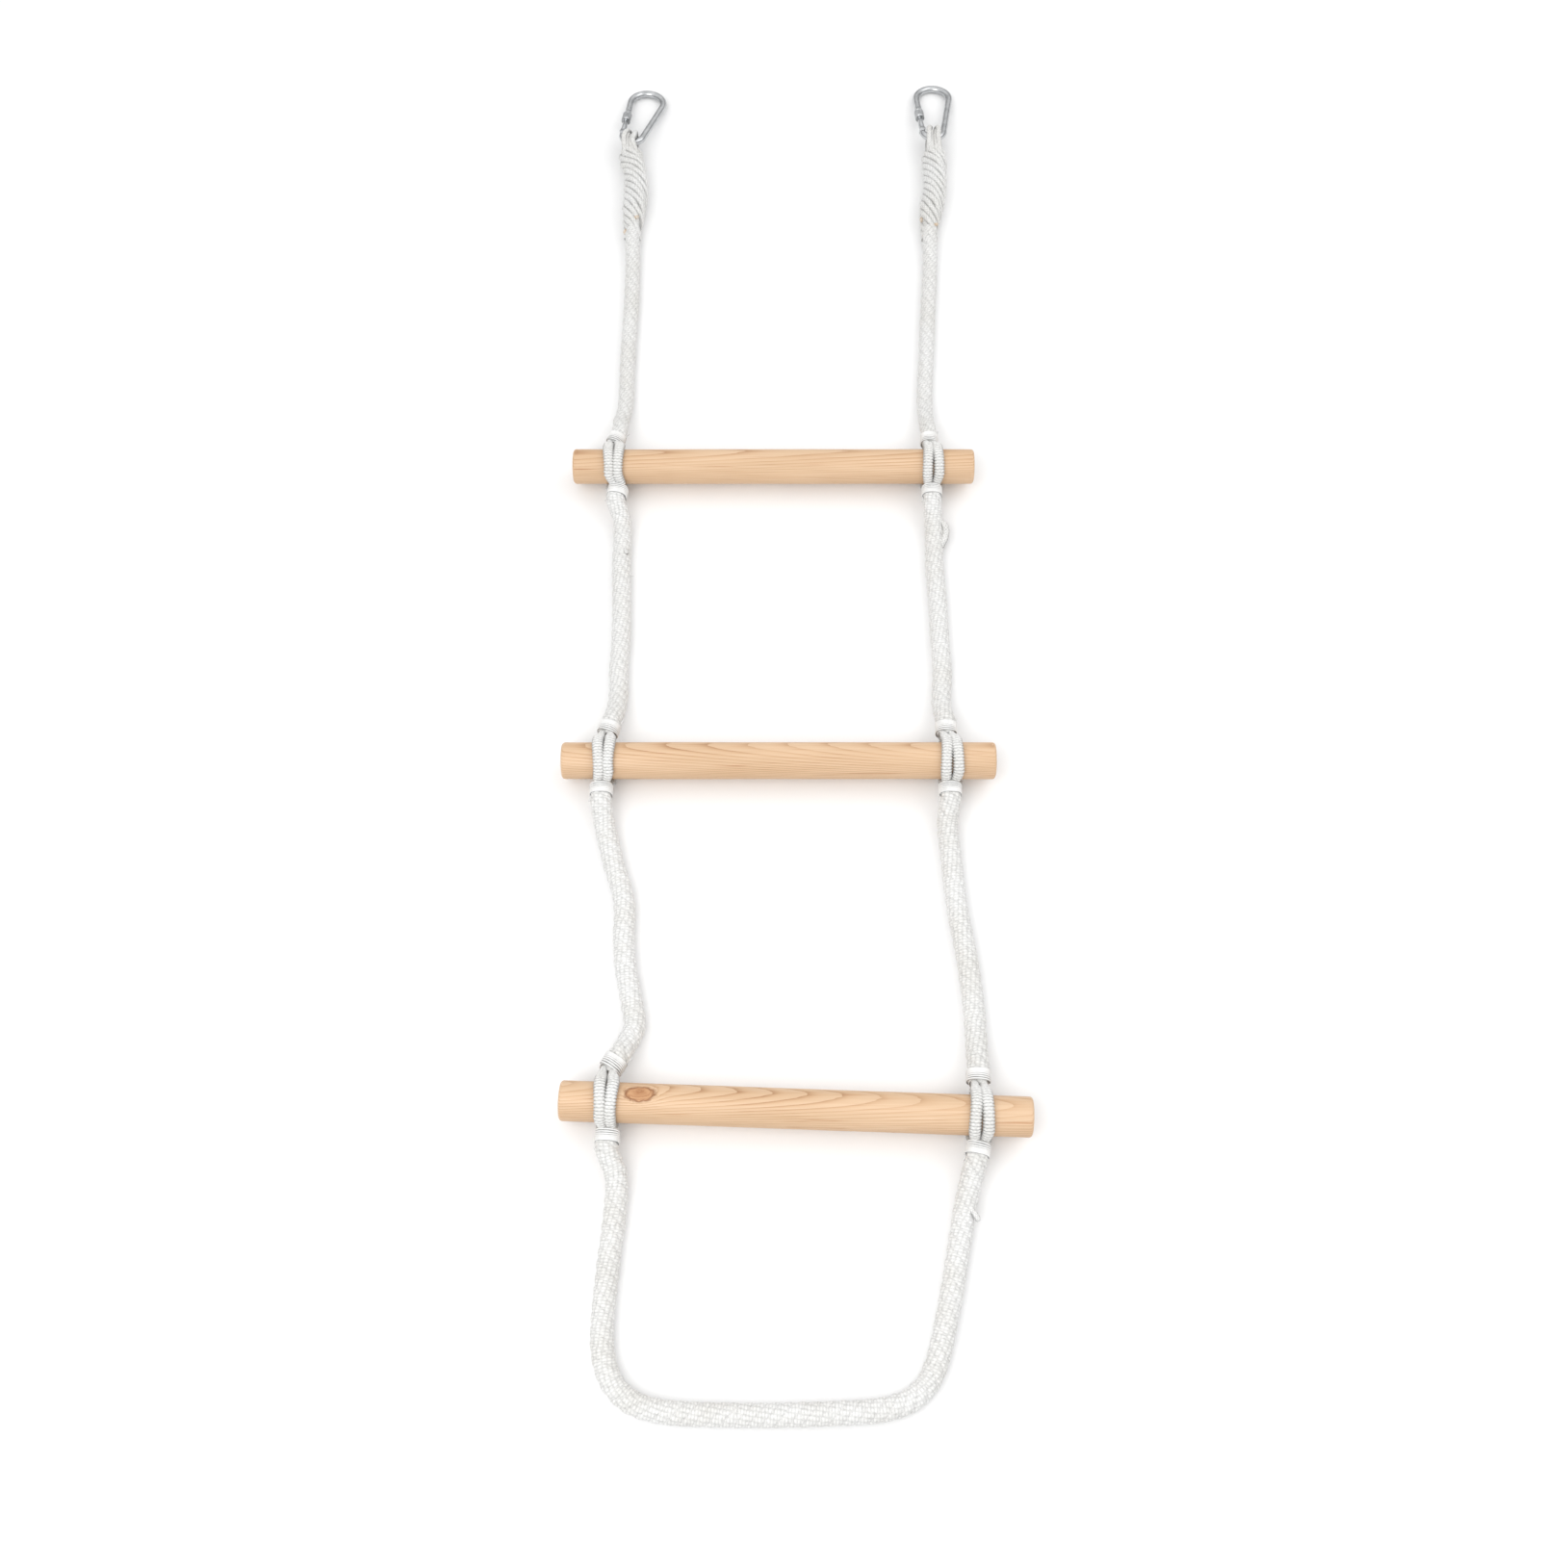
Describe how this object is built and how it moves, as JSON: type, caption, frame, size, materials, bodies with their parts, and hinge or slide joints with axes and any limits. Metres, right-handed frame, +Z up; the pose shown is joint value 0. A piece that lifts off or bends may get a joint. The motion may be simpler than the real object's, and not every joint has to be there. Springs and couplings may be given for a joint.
{
  "type": "rope escape ladder",
  "caption": "Rope ladder with wooden rungs lashed into four-strand rope, a foot loop below and spring-gate screw-lock hooks above.",
  "frame": {"origin": "middle of the footprint of the ladder as it lies flat, on the floor", "axes": "+X along the rungs to the right, +Y up the ladder towards the carabiners, +Z up from the floor"},
  "size_m": [0.4313, 1.5, 0.0513],
  "materials": {
    "wood": "smooth sanded light softwood with a thin satin seal",
    "rope": "white braided cords laid into a rope, matt with a slight sheen",
    "thread": "white waxed whipping thread wound tight",
    "plated_steel": "bright zinc plating",
    "spring_steel": "drawn spring wire"
  },
  "bodies": {
    "middle_section": {"middle_rung": "wood", "left_middle_front_cords": "rope", "left_middle_back_cords": "rope", "left_middle_whipping_above": "thread", "left_middle_whipping_below": "thread", "right_middle_front_cords": "rope", "right_middle_back_cords": "rope", "right_middle_whipping_above": "thread", "right_middle_whipping_below": "thread", "left_upper_span_bottom_half": "rope", "left_lower_span_top_half": "rope", "right_upper_span_bottom_half": "rope", "right_lower_span_top_half": "rope"},
    "upper_section": {"upper_rung": "wood", "left_upper_front_cords": "rope", "left_upper_back_cords": "rope", "left_upper_whipping_above": "thread", "left_upper_whipping_below": "thread", "right_upper_front_cords": "rope", "right_upper_back_cords": "rope", "right_upper_whipping_above": "thread", "right_upper_whipping_below": "thread", "left_upper_span_top_half": "rope", "left_leg_lower_half": "rope", "right_upper_span_top_half": "rope", "right_leg_lower_half": "rope"},
    "lower_section": {"lower_rung": "wood", "left_lower_front_cords": "rope", "left_lower_back_cords": "rope", "left_lower_whipping_above": "thread", "left_lower_whipping_below": "thread", "right_lower_front_cords": "rope", "right_lower_back_cords": "rope", "right_lower_whipping_above": "thread", "right_lower_whipping_below": "thread", "left_lower_span_bottom_half": "rope", "left_loop_tail": "rope", "right_lower_span_bottom_half": "rope", "right_loop_tail": "rope"},
    "loop": {"bottom_loop": "rope"},
    "left_leg": {"left_leg_upper_half": "rope", "left_splice": "rope", "left_rope_eye": "rope"},
    "left_carabiner": {"left_carabiner_frame": "plated_steel", "left_hinge_pin": "plated_steel"},
    "left_gate": {"left_carabiner_gate": "plated_steel", "left_spring_plunger": "plated_steel", "left_gate_spring": "spring_steel"},
    "left_sleeve": {"left_lock_sleeve": "plated_steel"},
    "right_leg": {"right_leg_upper_half": "rope", "right_splice": "rope", "right_rope_eye": "rope"},
    "right_carabiner": {"right_carabiner_frame": "plated_steel", "right_hinge_pin": "plated_steel"},
    "right_gate": {"right_carabiner_gate": "plated_steel", "right_spring_plunger": "plated_steel", "right_gate_spring": "spring_steel"},
    "right_sleeve": {"right_lock_sleeve": "plated_steel"}
  },
  "joints": [
    {"name": "upper_fold", "type": "hinge", "parent": "middle_section", "child": "upper_section", "pos_m": [0, 0.023, 0.019], "axis": [1, 0, 0], "range_deg": [0, 90]},
    {"name": "lower_fold", "type": "hinge", "parent": "middle_section", "child": "lower_section", "pos_m": [0, -0.317, 0.02], "axis": [-1, 0, 0], "range_deg": [0, 90]},
    {"name": "loop_fold", "type": "hinge", "parent": "lower_section", "child": "loop", "pos_m": [0, -0.545, 0.0275], "axis": [-1, 0, 0], "range_deg": [0, 90]},
    {"name": "left_leg_fold", "type": "hinge", "parent": "upper_section", "child": "left_leg", "pos_m": [-0.175, 0.45, 0.0165], "axis": [1, 0, 0], "range_deg": [0, 90]},
    {"name": "right_leg_fold", "type": "hinge", "parent": "upper_section", "child": "right_leg", "pos_m": [0.1698, 0.45, 0.0165], "axis": [1, 0, 0], "range_deg": [0, 90]},
    {"name": "left_carabiner_tilt", "type": "hinge", "parent": "left_leg", "child": "left_carabiner", "pos_m": [-0.175, 0.649, 0.0185], "axis": [0.9744, -0.225, 0], "range_deg": [0, 90]},
    {"name": "right_carabiner_tilt", "type": "hinge", "parent": "right_leg", "child": "right_carabiner", "pos_m": [0.1698, 0.6552, 0.0185], "axis": [0.9994, -0.0349, 0], "range_deg": [0, 90]},
    {"name": "left_gate_open", "type": "hinge", "parent": "left_carabiner", "child": "left_gate", "pos_m": [-0.18404, 0.66387, 0.0165], "axis": [-0.0356, -0.1543, -0.9874], "range_deg": [0, 16], "stiffness_Nm_per_rad": 0.02, "springref_deg": -8.59},
    {"name": "right_gate_open", "type": "hinge", "parent": "right_carabiner", "child": "right_gate", "pos_m": [0.15809, 0.66807, 0.0165], "axis": [-0.0055, -0.1583, -0.9874], "range_deg": [0, 16], "stiffness_Nm_per_rad": 0.02, "springref_deg": -8.59},
    {"name": "left_sleeve_travel", "type": "slide", "parent": "left_gate", "child": "left_sleeve", "axis": [0.1092, 0.9815, -0.1573], "range_m": [0, 0.0049]},
    {"name": "right_sleeve_travel", "type": "slide", "parent": "right_gate", "child": "right_sleeve", "axis": [-0.0801, 0.9843, -0.1573], "range_m": [0, 0.0049]}
  ]
}
